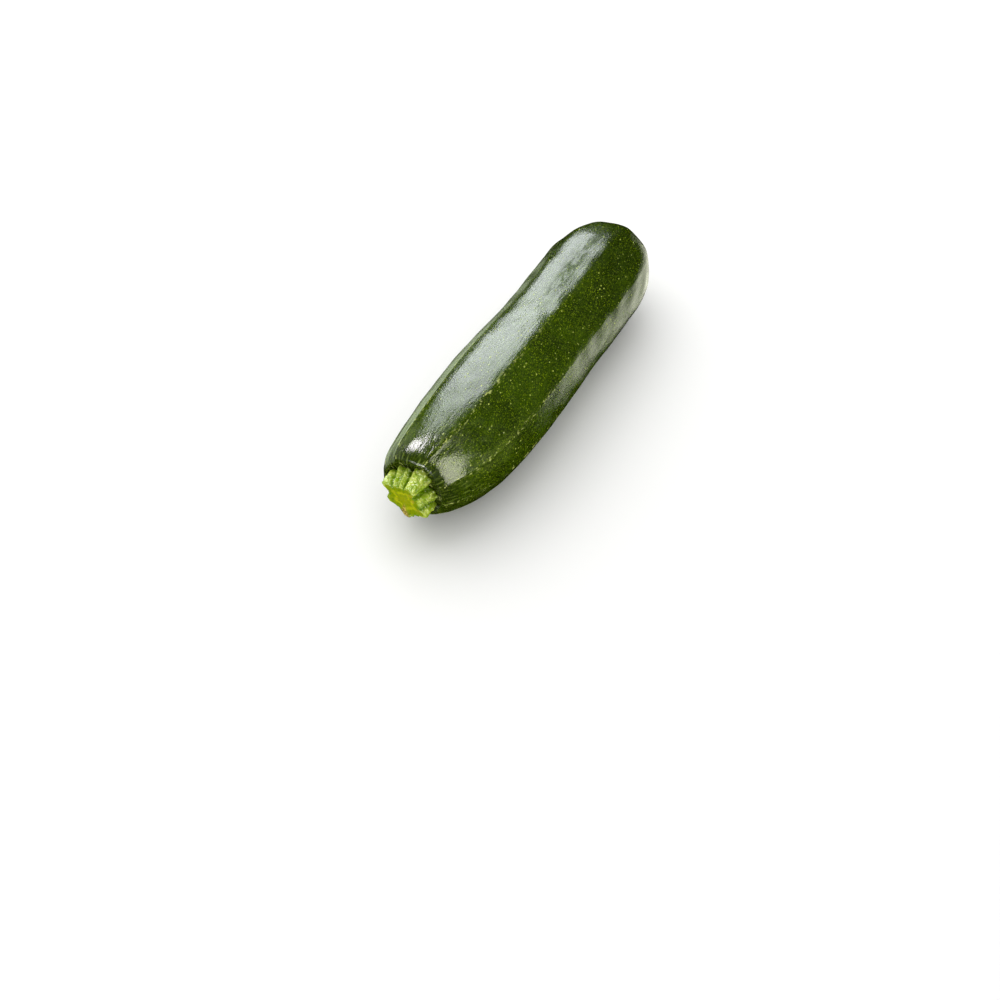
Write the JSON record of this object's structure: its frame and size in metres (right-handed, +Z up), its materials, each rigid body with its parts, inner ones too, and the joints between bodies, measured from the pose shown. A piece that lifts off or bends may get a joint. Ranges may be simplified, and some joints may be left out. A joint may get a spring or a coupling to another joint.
{
  "type": "courgette",
  "caption": "Whole dark green courgette with soft lengthwise ridges, a short cut stem and a rounded blossom end, lying on its side",
  "frame": {"origin": "on the surface it lies on, under the middle of the whole object", "axes": "+Z up, +X from the cut stem towards the blossom end, +Y sideways"},
  "size_m": [0.188, 0.0516, 0.0515],
  "materials": {
    "skin": "waxy gloss, finely speckled",
    "stalk": "satin, ribbed, freshly cut"
  },
  "bodies": {
    "root": {"fruit": "skin", "stem": "stalk"}
  },
  "joints": []
}
